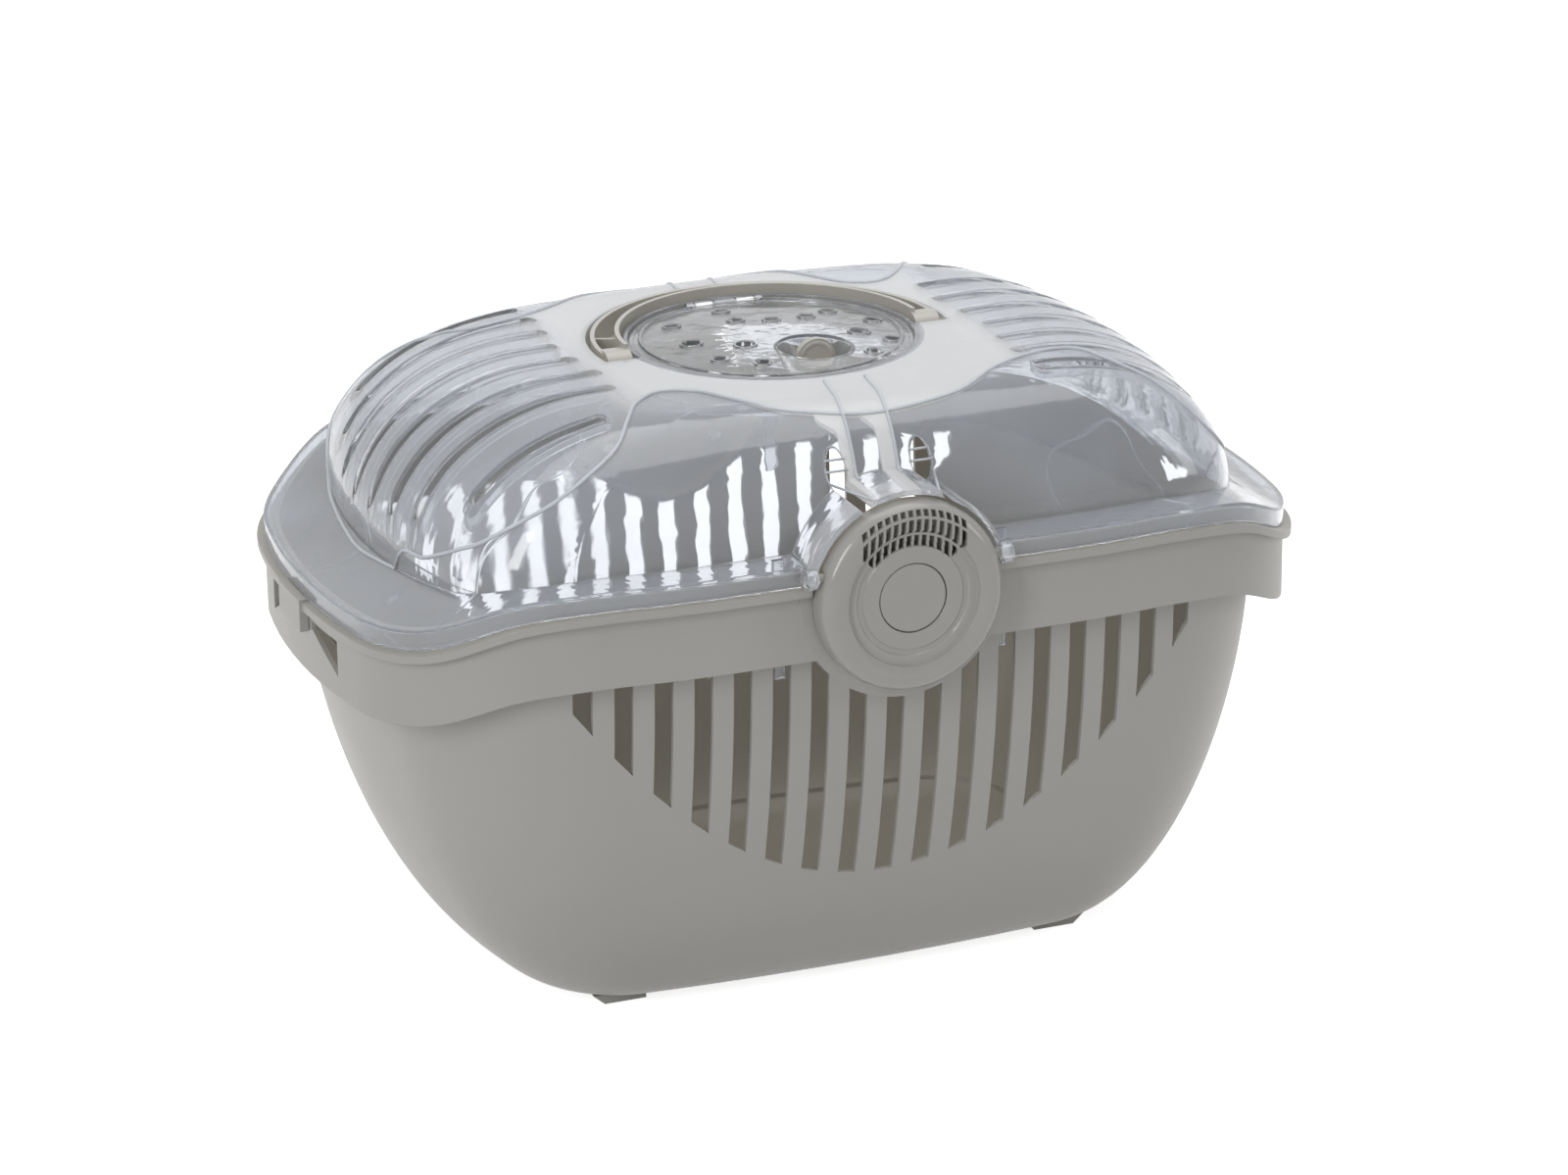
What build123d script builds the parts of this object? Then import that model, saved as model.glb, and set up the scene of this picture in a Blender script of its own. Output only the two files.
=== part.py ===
from build123d import *
from math import cos, pi, radians, sin, sqrt
import os

# Top-opening pet carrier, in millimetres.
# The origin is on the floor under the middle, X runs along the length, -Y is the front, Z is up.
# The tub and lid are alike at front and rear, and at left and right.

# Plastic walls and gaps
tub_wall = 2.2
lid_wall = 2.0
seat_gap = 0.3
running_gap = 0.06

# Rim of the tub, to the outer edge of its lip
rim_half_length = 221.0
rim_half_width = 150.0
rim_side_bulge = 14.0
rim_end_bulge = 23.0
rim_corner = 92.0
rim_height = 204.0
rim_sag = 2.4
rim_dip = 21.6
rim_dip_start = 150.0
rim_dip_end = 214.0
lip_height = 3.5
lip_overhang_side = 3.5
lip_overhang_end = 3.0
end_tab_half_width = 15.0
end_tab_height = 13.0
end_tab_proud = 1.2
collar_height = 5.0
collar_wall = 1.8

# Hull of the tub
band_height = 33.0
hull_step = 8.0
hull_step_end = 14.0
hull_corner = 84.0
base_half_length = 127.0
base_half_width = 81.0
base_side_bulge = 6.0
base_end_bulge = 12.0
base_corner = 32.0
hull_roundness = 1.82
hull_sections = 8
foot_height = 3.4
foot_x = 104.0
foot_y = 73.0
foot_length = 24.0
foot_width = 7.0
foot_slant = 5.0

# Ventilation slots in the long sides
slot_pitch = 17.0
slot_width = 8.0
slots_each_side_of_middle = 8
slot_low = 62.5
slot_rise = 0.0048
slot_top_gap = 1.0

# Seat-belt windows in the band at each end
belt_window_y = 32.0
belt_window_width = 29.0
belt_window_height = 16.0
belt_window_short = 3.0
belt_window_top = 8.0

# Lid skirt, ledge and hanging strips
skirt_inset = 3.0
skirt_height = 9.0
skirt_to_collar = 2.6
strip_x = 50.0
strip_width = 5.0
strip_thickness = 2.4
strip_bottom = 160.0

# Dome of the lid
dome_base = 205.0
dome_half_length = 188.0
dome_half_width = 130.0
dome_top = 266.5
dome_top_half_length = 108.0
dome_top_half_width = 88.0
dome_side_bulge = 10.0
dome_end_bulge = 20.0
dome_corner = 46.0
dome_sections = 7
pad_slot_width = 8.0
pad_slot_skew = 5.0
pad_slot_collar = 1.2
pad_slot_collar_depth = 3.0
pad_slots = (
    (-79.0, 104.0, 166.0), (-47.0, 88.0, 181.0), (-25.0, 86.0, 185.0), (-3.0, 89.0, 187.0),
    (18.5, 91.0, 187.0), (40.0, 88.0, 185.0), (60.0, 86.0, 178.0), (80.0, 88.0, 165.0),
)
window_vent_x = 19.0
window_vent_z = 243.0
window_vent_width = 9.0
window_vent_height = 17.0
window_vent_inset = 20.0

# Round latch, alike at front and rear
latch_z = 196.4
latch_radius = 41.0
latch_back = 147.0
latch_depth = 12.0
latch_wall = 2.2
latch_face_radius = 25.3
latch_face_depth = 9.4
latch_face_wall = 2.2
latch_crest_radius = 35.0
latch_boss_margin = 5.5
lid_arch_gap = 2.0
lid_arch_wall = 2.4
grille_pitch = 3.4
grille_slot = 2.3
grille_columns = 14
grille_rows = ((22.6, 27.4), (28.6, 34.9), (36.0, 38.6))
grille_half_angle = 49.0

# Push button, spring, bolts, back plate and screws of a latch
button_radius = 14.8
button_gap = 0.4
button_cap = 1.8
button_wall = 2.2
button_flange = 2.2
button_flange_thickness = 0.9
back_plate_thickness = 1.8
spring_radius = 8.0
spring_wire = 0.7
spring_turns = 2.5
bolt_radius = 2.2
bolt_height = 12.6
bolt_inner_x = 21.5
bolt_block_length = 9.0
bolt_block_height = 7.0
bolt_block_depth = 3.6
ear_radius = 4.4
ear_inner_x = 41.2
ear_outer_x = 46.0
ear_grip = 2.6
screw_x = 27.0
screw_drop = 17.0
screw_radius = 1.4
screw_head_radius = 3.2
screw_head_height = 2.0
screw_post_radius = 3.2
screw_tip_gap = 0.6

# Carry handle
handle_inner_radius = 66.0
handle_end_width = 12.0
handle_grip_width = 14.0
handle_wall = 2.0
handle_bottom = 255.0
handle_outer_top = 267.5
handle_inner_top = 270.5
handle_axis_z = 262.0
handle_eye_radius = 6.5
handle_rib_angles = (22.0, 62.0, 118.0, 158.0)
handle_rib_thickness = 2.0
handle_pin_radius = 2.3
pocket_gap = 2.0
pocket_floor = 253.0
pocket_front = 9.0

# Hatch
hatch_radius = 61.9
hatch_gap = 0.5
hatch_seat_width = 4.0
hatch_seat_z = 262.4
hatch_seat_thickness = 2.4
hatch_wall = 2.0
hatch_edge_height = 2.4
hatch_rise = 3.0
hatch_ring_radius = 57.0
hatch_ring_width = 1.6
hatch_ring_height = 1.0
hatch_axis_y = 57.3
hatch_axis_z = 264.9
hatch_pin_radius = 1.5
hatch_knuckle_radius = 2.5
hatch_lug_gap = 0.5
hatch_lug_x = (5.5, 14.0, 18.0)
hatch_rear_trim = 0.7
hatch_rear_trim_x = 31.0
hatch_side_trim = 3.5
hatch_side_gap = 0.05
vent_small = 3.2
vent_large = 4.2
vent_collar = 1.1
vent_collar_height = 0.8
vent_spots = (
    (-35.7, 28.2, vent_small), (-37.5, -1.0, vent_large), (-17.5, -14.0, vent_large), (-8.0, 40.0, vent_small),
    (-8.0, 22.0, vent_small), (6.5, 16.0, vent_small), (23.0, 16.0, vent_small), (35.5, 22.0, vent_small),
    (36.0, -13.0, vent_large), (31.5, -40.0, vent_small), (49.0, 3.0, vent_small), (46.0, -26.0, vent_small),
    (-34.0, -26.0, vent_small), (-19.0, -38.0, vent_small),
)

# Finger knob in the dimple of the hatch
dimple_x = 10.0
dimple_y = -26.0
dimple_turn = 40.0
dimple_radius = 17.0
dimple_floor_radius = 10.5
dimple_floor_z = 258.0
dimple_wall = 2.0
knob_stem_gap = 0.2
knob_base_radius = 9.0
knob_base_height = 2.0
knob_grip_width = 18.0
knob_grip_thickness = 3.4
knob_grip_height = 13.0
knob_stem_radius = 3.0
tongue_reach = 29.0
tongue_width = 8.0
tongue_thickness = 2.2
knob_screw_radius = 1.5
knob_screw_head_radius = 4.0
knob_screw_head_height = 1.6
knob_screw_length = 8.0

# Sizes that follow
reach = rim_half_length + 20.0
band_half_length = rim_half_length - lip_overhang_end
band_half_width = rim_half_width - lip_overhang_side
hull_top = rim_height - band_height
hull_half_length = band_half_length - hull_step_end
hull_half_width = band_half_width - hull_step
collar_inset = skirt_inset + lid_wall + skirt_to_collar
latch_front = latch_back + latch_depth
latch_face = latch_back + latch_face_depth
bolt_depth = latch_back + 0.5 * (back_plate_thickness + latch_face_depth - latch_face_wall) + 0.1
boss_radius = latch_radius + latch_boss_margin
arch_radius = latch_radius + lid_arch_gap
arch_outer = arch_radius + lid_arch_wall
niche_floor = latch_back - 0.5 - tub_wall
hinge_z = latch_z + bolt_height
handle_outer_radius_offset = (
    (handle_inner_radius + handle_grip_width) ** 2 - (handle_inner_radius + handle_end_width) ** 2
) / (2.0 * (handle_inner_radius + handle_grip_width))
handle_outer_radius = handle_inner_radius + handle_grip_width - handle_outer_radius_offset
hatch_bore = hatch_radius + hatch_gap
hatch_opening = hatch_bore - hatch_seat_width
ring_outer = hatch_bore + lid_wall
hatch_bottom = hatch_seat_z + seat_gap
stud_start = ring_outer - lid_wall + 0.8
stud_end = handle_inner_radius + handle_end_width + pocket_gap + lid_wall


def rim_z(x):
    """Height of the lip's top at a distance x from the middle of the carrier."""
    near = min(abs(x), rim_dip_start) / rim_dip_start
    far = min(max((abs(x) - rim_dip_start) / (rim_dip_end - rim_dip_start), 0.0), 1.0)
    return rim_height - rim_sag * near ** 2 - rim_dip * far ** 2 * (3.0 - 2.0 * far)


def rim_slab(low, high):
    """Solid between two copies of the rim's saddle line, offset by low and high, over the whole width."""
    far_step = (rim_dip_end - rim_dip_start) / 4.0
    half = [0.0, rim_dip_start / 3.0, rim_dip_start / 1.5]
    half += [rim_dip_start + far_step * step for step in range(5)] + [reach]
    stations = [-x for x in reversed(half[1:])] + half
    with BuildSketch(Plane.XZ) as side:
        with BuildLine():
            upper = Spline(*[(x, rim_z(x) + high) for x in stations])
            lower = Spline(*[(x, rim_z(x) + low) for x in stations])
            Line(upper @ 0, lower @ 0)
            Line(upper @ 1, lower @ 1)
        make_face()
    return extrude(side.sketch, amount=reach, both=True)


def plan_face(half_length, half_width, side_bulge, end_bulge, corner, z):
    """Rectangle with bulged sides and rounded corners, level at height z."""
    corner_x = half_length - end_bulge
    corner_y = half_width - side_bulge
    with BuildSketch(Plane.XY.offset(z)) as plan:
        with BuildLine():
            ThreePointArc((-corner_x, -corner_y), (0, -half_width), (corner_x, -corner_y))
            ThreePointArc((corner_x, -corner_y), (half_length, 0), (corner_x, corner_y))
            ThreePointArc((corner_x, corner_y), (0, half_width), (-corner_x, corner_y))
            ThreePointArc((-corner_x, corner_y), (-half_length, 0), (-corner_x, -corner_y))
        make_face()
        fillet(plan.vertices(), radius=corner)
    return plan.sketch


def rim_prism(inset_end, inset_side):
    """Upright prism with the rim's plan, moved in by an inset at the ends and at the sides."""
    plan = plan_face(rim_half_length - inset_end, rim_half_width - inset_side,
                     rim_side_bulge, rim_end_bulge, rim_corner - inset_side / 2.0, 0.0)
    return extrude(plan, amount=dome_top)


def hull(wall):
    """Hull of the tub as a solid, moved in by a wall."""
    sections = []
    for step in range(hull_sections + 1):
        angle = 0.5 * pi * step / hull_sections
        spread = cos(angle) ** (2.0 / hull_roundness) if step < hull_sections else 0.0
        depth = sin(angle) ** (2.0 / hull_roundness)
        sections.append(plan_face(
            base_half_length + (hull_half_length - base_half_length) * spread - wall,
            base_half_width + (hull_half_width - base_half_width) * spread - wall,
            base_side_bulge + (rim_side_bulge - base_side_bulge) * spread,
            base_end_bulge + (rim_end_bulge - base_end_bulge) * spread,
            base_corner + (hull_corner - base_corner) * spread - wall / 2.0,
            hull_top - (hull_top - foot_height - wall) * depth))
    body = loft(list(reversed(sections)))
    return body + extrude(sections[0], amount=band_height)


def dome(wall):
    """Dome of the lid as a solid, moved in by a wall."""
    sections = []
    rise = dome_top - dome_base - wall
    for step in range(dome_sections + 1):
        angle = 0.5 * pi * step / dome_sections
        sections.append(plan_face(
            dome_top_half_length + (dome_half_length - wall - dome_top_half_length) * cos(angle),
            dome_top_half_width + (dome_half_width - wall - dome_top_half_width) * cos(angle),
            dome_side_bulge, dome_end_bulge, dome_corner,
            dome_base + rise * sin(angle)))
    body = loft(sections)
    return body + extrude(sections[0], amount=-2.0 * band_height)


def disc_y(radius, near, far, z=latch_z, x=0.0):
    """Front-facing disc between two depths from the middle plane, centred on the latch."""
    plane = Plane(origin=(x, -near, z), x_dir=(1, 0, 0), z_dir=(0, -1, 0))
    return extrude(plane * Circle(radius), amount=far - near)


def rod_x(radius, x_from, x_to, y, z):
    """Round bar along X."""
    plane = Plane(origin=(x_from, y, z), x_dir=(0, 1, 0), z_dir=(1, 0, 0))
    return extrude(plane * Circle(radius), amount=x_to - x_from)


def disc_z(radius, z_from, z_to, x=0.0, y=0.0):
    """Level disc between two heights."""
    return Pos(x, y, z_from) * extrude(Circle(radius), amount=z_to - z_from)


def block(x_from, x_to, y_from, y_to, z_from, z_to):
    """Box from its six faces."""
    size = (x_to - x_from, y_to - y_from, z_to - z_from)
    return Pos((x_from + x_to) / 2, (y_from + y_to) / 2, (z_from + z_to) / 2) * Box(*size)


def both_ways(shape):
    """The shape and its copy turned half round the upright axis."""
    return [shape, Rot(0, 0, 180) * shape]


def slot_cutters():
    """Upright slots of the long sides, with their lower ends on an arc."""
    cutters = []
    for index in range(-slots_each_side_of_middle, slots_each_side_of_middle + 1):
        left = index * slot_pitch - slot_width / 2
        right = left + slot_width
        top_left = rim_z(left) - band_height - slot_top_gap
        top_right = rim_z(right) - band_height - slot_top_gap
        low_left = slot_low + slot_rise * left ** 2
        low_right = slot_low + slot_rise * right ** 2
        face = Plane.XZ * make_face(Polyline(
            (left, low_left), (right, low_right), (right, top_right), (left, top_left), close=True))
        cutters.append(extrude(face, amount=reach, both=True))
    return cutters


def belt_window(side_y):
    """Cutter for the two windows, left and right, on one side of the ends."""
    top = rim_height - rim_sag - rim_dip - belt_window_top
    near = side_y * (belt_window_y - belt_window_width / 2)
    far = side_y * (belt_window_y + belt_window_width / 2)
    low_near = top - belt_window_short
    low_far = top - belt_window_height
    face = Plane.YZ * make_face(Polyline((near, top), (far, top), (far, low_far), (near, low_near), close=True))
    middle = hull_half_length - 2.0 * rim_end_bulge
    return extrude(face, amount=reach, both=True) - block(-middle, middle, -reach, reach, 0, dome_top)


def tub():
    """Grey tub with its slots, band, lip, collar, latch bosses and feet."""
    below_shelf = rim_slab(-2.0 * rim_height, -band_height + tub_wall)
    band_zone = rim_slab(-band_height, -lip_height / 2)
    lip_zone = rim_slab(-lip_height, 0.0)
    collar_zone = rim_slab(-lip_height, collar_height)
    open_zone = rim_slab(-band_height + tub_wall, rim_height)
    band_inset_end = lip_overhang_end + tub_wall
    band_inset_side = lip_overhang_side + tub_wall
    body = hull(0.0) & below_shelf
    body += rim_prism(lip_overhang_end, lip_overhang_side) & band_zone
    body += rim_prism(0.0, 0.0) & lip_zone
    body += rim_prism(collar_inset, collar_inset) & collar_zone
    body -= hull(tub_wall) & below_shelf
    body -= rim_prism(band_inset_end, band_inset_side) & rim_slab(-band_height + tub_wall, -lip_height)
    body -= rim_prism(collar_inset + collar_wall, collar_inset + collar_wall) & open_zone
    tab = rim_prism(-end_tab_proud, -end_tab_proud) & rim_slab(-end_tab_height, end_tab_proud)
    tab -= rim_prism(skirt_inset - seat_gap, skirt_inset - seat_gap)
    for shape in both_ways(tab & block(0, reach, -end_tab_half_width, end_tab_half_width, 0, dome_top)):
        body += shape
    for cutter in slot_cutters():
        body -= cutter
    for side_y in (-1, 1):
        body -= belt_window(side_y)
    boss = disc_y(boss_radius, hull_half_width - 4.0, latch_back - 0.5) & rim_slab(-rim_height, 0.0)
    for shape in both_ways(boss):
        body += shape
    cup = disc_y(boss_radius - tub_wall, niche_floor - 60.0, niche_floor)
    gap = disc_y(latch_radius + 1.2, latch_back - 0.5, reach)
    notch = disc_y(arch_outer + 1.0, niche_floor - 60.0, niche_floor - 0.1) & rim_slab(0.0, rim_height)
    screw_hole = disc_y(screw_radius + 0.2, niche_floor - 1.0, latch_back, latch_z - screw_drop, screw_x)
    screw_hole += disc_y(screw_radius + 0.2, niche_floor - 1.0, latch_back, latch_z - screw_drop, -screw_x)
    for shape in both_ways(cup) + both_ways(gap) + both_ways(notch) + both_ways(screw_hole):
        body -= shape
    for foot_side_x in (-1, 1):
        for foot_side_y in (-1, 1):
            foot = Plane.XZ * make_face(Polyline(
                (-foot_length / 2, 0), (foot_length / 2 - foot_slant, 0), (foot_length / 2, foot_height + 1.0),
                (-foot_length / 2, foot_height + 1.0), close=True))
            foot = extrude(foot, amount=foot_width / 2, both=True)
            if foot_side_x < 0:
                foot = Rot(0, 0, 180) * foot
            body += Pos(foot_side_x * foot_x, foot_side_y * foot_y, 0) * foot
    return body


def handle_circle(grow, z_from, z_to):
    """Disc with the handle's outer outline, grown by a gap."""
    return disc_z(handle_outer_radius + grow, z_from, z_to, y=handle_outer_radius_offset)


def handle_pocket(grow_out, grow_in, z_from, z_to, front):
    """Crescent that the handle lies in."""
    crescent = handle_circle(grow_out, z_from, z_to) - disc_z(ring_outer - grow_in, z_from - 1, z_to + 1)
    return crescent & block(-reach, reach, -front, reach, 0, 2 * dome_top)


def lid():
    """Clear lid with its skirt, ledge, dome, handle pocket, hatch ring, latch niches and ears."""
    inner_dome = dome(lid_wall)
    body = rim_prism(skirt_inset, skirt_inset) & rim_slab(seat_gap, skirt_height)
    skirt_room = skirt_inset + lid_wall
    body -= rim_prism(skirt_room, skirt_room) & rim_slab(-rim_height, skirt_height - lid_wall)
    body += dome(0.0) & rim_slab(skirt_height - lid_wall, rim_height)
    body -= inner_dome
    niche = disc_y(arch_outer, dome_half_width - 14.0, bolt_depth) & rim_slab(seat_gap, rim_height)
    drum = disc_y(arch_radius, dome_half_width - 40.0, reach)
    niche = niche - drum - inner_dome
    for hole, ring in zip(both_ways(drum), both_ways(niche)):
        body -= hole
        body += ring
    floor_z = pocket_floor - lid_wall
    body += handle_pocket(pocket_gap + lid_wall, 0.0, floor_z, dome_top, pocket_front + lid_wall) & dome(0.0)
    body += disc_z(ring_outer, floor_z, dome_top)
    body -= handle_pocket(pocket_gap, 0.0, pocket_floor, dome_top + 20.0, pocket_front)
    body -= disc_z(hatch_bore, hatch_seat_z, dome_top + 20.0)
    body -= disc_z(hatch_opening, floor_z - 1.0, dome_top)
    body -= disc_z(hatch_bore, floor_z - 1.0, hatch_seat_z - hatch_seat_thickness)
    zone_end = hatch_lug_x[1] + hatch_lug_gap / 2
    body -= rod_x(hatch_knuckle_radius + 1.2, -zone_end, zone_end, hatch_axis_y, hatch_axis_z)
    for lug_from, lug_to in ((-hatch_lug_x[2], -hatch_lug_x[1] - hatch_lug_gap),
                             (hatch_lug_x[1] + hatch_lug_gap, hatch_lug_x[2]),
                             (-hatch_lug_x[0] + hatch_lug_gap, hatch_lug_x[0] - hatch_lug_gap)):
        lug = rod_x(hatch_knuckle_radius, lug_from, lug_to, hatch_axis_y, hatch_axis_z)
        lug += block(lug_from, lug_to, hatch_axis_y, ring_outer, hatch_axis_z - 2.4, hatch_axis_z + 1.4)
        body += lug & disc_z(ring_outer - lid_wall / 2, 0, 2 * dome_top)
    body -= rod_x(hatch_pin_radius, -hatch_lug_x[2] - 1.0, hatch_lug_x[2] + 1.0, hatch_axis_y, hatch_axis_z)
    body -= rod_x(handle_pin_radius, stud_start, stud_end + 2.0, 0.0, handle_axis_z)
    body -= rod_x(handle_pin_radius, -stud_end - 2.0, -stud_start, 0.0, handle_axis_z)
    for end_x in (-1, 1):
        for side_y in (-1, 1):
            near, far = sorted((end_x * ear_inner_x, end_x * ear_outer_x))
            ear = rod_x(ear_radius, near, far, side_y * bolt_depth, hinge_z)
            for shape in both_ways(drum):
                ear -= shape
            body += ear
    for side_y in (-1, 1):
        body -= rod_x(bolt_radius + running_gap, -boss_radius, boss_radius, side_y * bolt_depth, hinge_z)
    collar_zone = dome(0.0) - dome(lid_wall + pad_slot_collar_depth)
    for collar in pad_slot_cutters(pad_slot_collar):
        body += collar & collar_zone & rim_slab(skirt_height, rim_height)
    for cutter in pad_slot_cutters(0.0) + window_vents():
        body -= cutter
    strip_top = rim_height + skirt_height - lid_wall / 2
    for end_x in (-1, 1):
        for side_y in (-1, 1):
            strip_mid_y = side_y * (dome_half_width + strip_thickness / 2 + 0.2)
            body += block(end_x * strip_x - strip_width / 2, end_x * strip_x + strip_width / 2,
                          strip_mid_y - strip_thickness / 2, strip_mid_y + strip_thickness / 2,
                          strip_bottom, strip_top)
    return body


def pad_slot_cutters(grow):
    """Long slots of the two end pads, grown by a margin, to cut straight down through the dome."""
    cutters = []
    for slot_y, start, end in pad_slots:
        cutter = block(-end - grow, -start + grow, -pad_slot_width / 2 - grow, pad_slot_width / 2 + grow,
                       dome_base + 4.0 - grow, dome_top + 5.0)
        cutter = fillet(cutter.edges().filter_by(Axis.Z), radius=pad_slot_width / 2 - 1.0)
        middle = (start + end) / 2
        cutters += both_ways(Pos(-middle, slot_y, 0) * Rot(0, 0, pad_slot_skew) * Pos(middle, 0, 0) * cutter)
    return cutters


def window_vents():
    """Two oval vents over each latch."""
    cutters = []
    for end_x in (-1, 1):
        oval = Ellipse(window_vent_width / 2, window_vent_height / 2)
        bar = extrude(Plane.XZ * Pos(end_x * window_vent_x, window_vent_z) * oval, amount=reach, both=True)
        middle = dome_top_half_width + window_vent_inset
        cutters.append(bar - block(-reach, reach, -middle, middle, 0, 2 * dome_top))
    return cutters


def latch_cover():
    """Domed round cover with its stepped face, grille, bolt bores and screw posts, at the front."""
    crest = latch_depth
    face = latch_face_depth
    with BuildSketch(Plane.XY) as half:
        with BuildLine():
            Line((latch_radius - latch_wall, 0), (latch_radius, 0))
            Line((latch_radius, 0), (latch_radius, crest * 0.36))
            ThreePointArc((latch_radius, crest * 0.36), (latch_radius - 1.8, crest * 0.82),
                          (latch_crest_radius, crest))
            ThreePointArc((latch_crest_radius, crest), (32.0, crest * 0.985), (29.6, crest * 0.93))
            Line((29.6, crest * 0.93), (28.8, face))
            Line((28.8, face), (latch_face_radius, face))
            Line((latch_face_radius, face), (24.8, face - 0.6))
            Line((24.8, face - 0.6), (22.8, face - 0.6))
            Line((22.8, face - 0.6), (22.3, face))
            Line((22.3, face), (button_radius + button_gap, face))
            Line((button_radius + button_gap, face), (button_radius + button_gap, face - latch_face_wall))
            Line((button_radius + button_gap, face - latch_face_wall), (31.0, face - latch_face_wall))
            Line((31.0, face - latch_face_wall), (33.0, crest - latch_wall))
            ThreePointArc((33.0, crest - latch_wall), (36.4, crest - latch_wall - 1.4),
                          (latch_radius - latch_wall, crest * 0.36))
            Line((latch_radius - latch_wall, crest * 0.36), (latch_radius - latch_wall, 0))
        make_face()
    upright = Plane(origin=(0, -latch_back, latch_z), x_dir=(1, 0, 0), z_dir=(0, 0, 1))
    profile = upright * mirror(half.sketch, about=Plane.XZ)
    body = revolve(profile, axis=Axis((0, 0, latch_z), (0, 1, 0)))
    for row_inner, row_outer in grille_rows:
        sector_half = radians(grille_half_angle)
        side = 1.5 * latch_radius * sin(sector_half)
        top = 1.5 * latch_radius * cos(sector_half)
        face_plane = Plane(origin=(0, -latch_back, latch_z), x_dir=(1, 0, 0), z_dir=(0, -1, 0))
        wedge = face_plane * make_face(Polyline((0, 0), (side, top), (-side, top), close=True))
        ring = disc_y(row_outer, latch_back, latch_front + 5) - disc_y(row_inner, latch_back, latch_front + 5)
        ring = ring & extrude(wedge, amount=latch_depth + 5)
        columns = []
        for column in range(grille_columns):
            x = (column - (grille_columns - 1) / 2) * grille_pitch
            columns.append(block(x - grille_slot / 2, x + grille_slot / 2, -latch_front - 5, -latch_back,
                                 latch_z, latch_z + latch_radius))
        body -= ring & (columns[0] + columns[1:])
    for x in (-screw_x, screw_x):
        post = disc_y(screw_post_radius, latch_back + 0.4 + back_plate_thickness, latch_face - 0.5,
                      latch_z - screw_drop, x)
        body += post
        body -= disc_y(screw_radius, latch_back, screw_tip() + screw_tip_gap, latch_z - screw_drop, x)
    body -= rod_x(bolt_radius + running_gap + 0.1, -reach, reach, -bolt_depth, hinge_z)
    return body


def screw_tip():
    """Depth that the point of a latch screw reaches."""
    return latch_face - latch_face_wall


def latch_back_plate():
    """Round plate that closes the cover and carries the spring, at the front."""
    plate_from = latch_back + 0.1
    body = disc_y(latch_radius - latch_wall - 0.3, plate_from, plate_from + back_plate_thickness)
    body += disc_y(spring_radius - spring_wire - 0.8, plate_from, plate_from + back_plate_thickness + 1.0)
    for x in (-screw_x, screw_x):
        body -= disc_y(screw_radius + 0.2, plate_from - 1, latch_front, latch_z - screw_drop, x)
    return body


def latch_button():
    """Push button with its flange, at the front."""
    face = latch_face - 0.2
    flange_top = latch_face - latch_face_wall - 0.2
    body = disc_y(button_radius, flange_top - button_flange_thickness, face)
    body += disc_y(button_radius + button_flange, flange_top - button_flange_thickness, flange_top)
    body -= disc_y(button_radius - button_wall, 0, face - button_cap)
    return fillet(body.faces().filter_by(Axis.Y).sort_by(Axis.Y)[0].edges(), radius=0.5)


def latch_spring():
    """Coil spring between the back plate and the button, at the front."""
    start = latch_back + 0.1 + back_plate_thickness + spring_wire
    end = latch_face - 0.2 - button_cap - spring_wire
    path = Helix(pitch=(end - start) / spring_turns, height=end - start, radius=spring_radius)
    section = Plane(origin=path @ 0, z_dir=path % 0) * Circle(spring_wire / 2)
    coil = sweep(section, path=path)
    return Pos(0, -start, latch_z) * Rot(90, 0, 0) * coil


def latch_bolt(outer_x):
    """Sliding bolt with its guide block, at the front right."""
    body = rod_x(bolt_radius, bolt_inner_x, outer_x, -bolt_depth, hinge_z)
    body += block(bolt_inner_x, bolt_inner_x + bolt_block_length,
                  -bolt_depth - bolt_block_depth / 2, -bolt_depth + bolt_block_depth / 2,
                  hinge_z - bolt_block_height / 2, hinge_z + bolt_block_height / 2)
    return body


def latch_screws():
    """The two screws that hold a latch to the tub, at the front."""
    screws = []
    for x in (-screw_x, screw_x):
        head_top = niche_floor
        z = latch_z - screw_drop
        screw = disc_y(screw_radius, head_top, screw_tip(), z, x)
        screw += disc_y(screw_head_radius, head_top - screw_head_height, head_top, z, x)
        screw -= block(x - 0.4, x + 0.4, -head_top + 1.0, 0, z - 2.0, z + 2.0)
        screw -= block(x - 2.0, x + 2.0, -head_top + 1.0, 0, z - 0.4, z + 0.4)
        screws.append(screw)
    return screws[0] + screws[1]


def carry_handle():
    """Half-ring handle: a channel, open at the top, with cross ribs and two eyes."""
    inner = handle_inner_radius
    keep = block(-reach, reach, 0, reach, 0, 2 * dome_top)
    body = handle_circle(0.0, handle_bottom, handle_outer_top) - disc_z(inner, 0, 2 * dome_top)
    body += disc_z(inner + handle_wall, handle_bottom, handle_inner_top) - disc_z(inner, 0, 2 * dome_top)
    body = body & keep
    channel = handle_circle(-handle_wall, handle_bottom + handle_wall, 2 * dome_top)
    channel -= disc_z(inner + handle_wall, 0, 2 * dome_top)
    channel = channel & block(-reach, reach, handle_eye_radius, reach, 0, 2 * dome_top)
    for angle in handle_rib_angles:
        rib = Rot(0, 0, angle) * block(inner, inner + 2 * handle_grip_width, -handle_rib_thickness / 2,
                                       handle_rib_thickness / 2, 0, handle_outer_top - 2.0)
        channel -= rib
    body -= channel
    for end_x in (-1, 1):
        near, far = sorted((end_x * inner, end_x * (inner + handle_end_width - 0.6)))
        eye = rod_x(handle_eye_radius, near, far, 0, handle_axis_z)
        body += eye - disc_z(inner, 0, 2 * dome_top)
    return body - rod_x(handle_pin_radius + running_gap, -reach, reach, 0, handle_axis_z)


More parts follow.
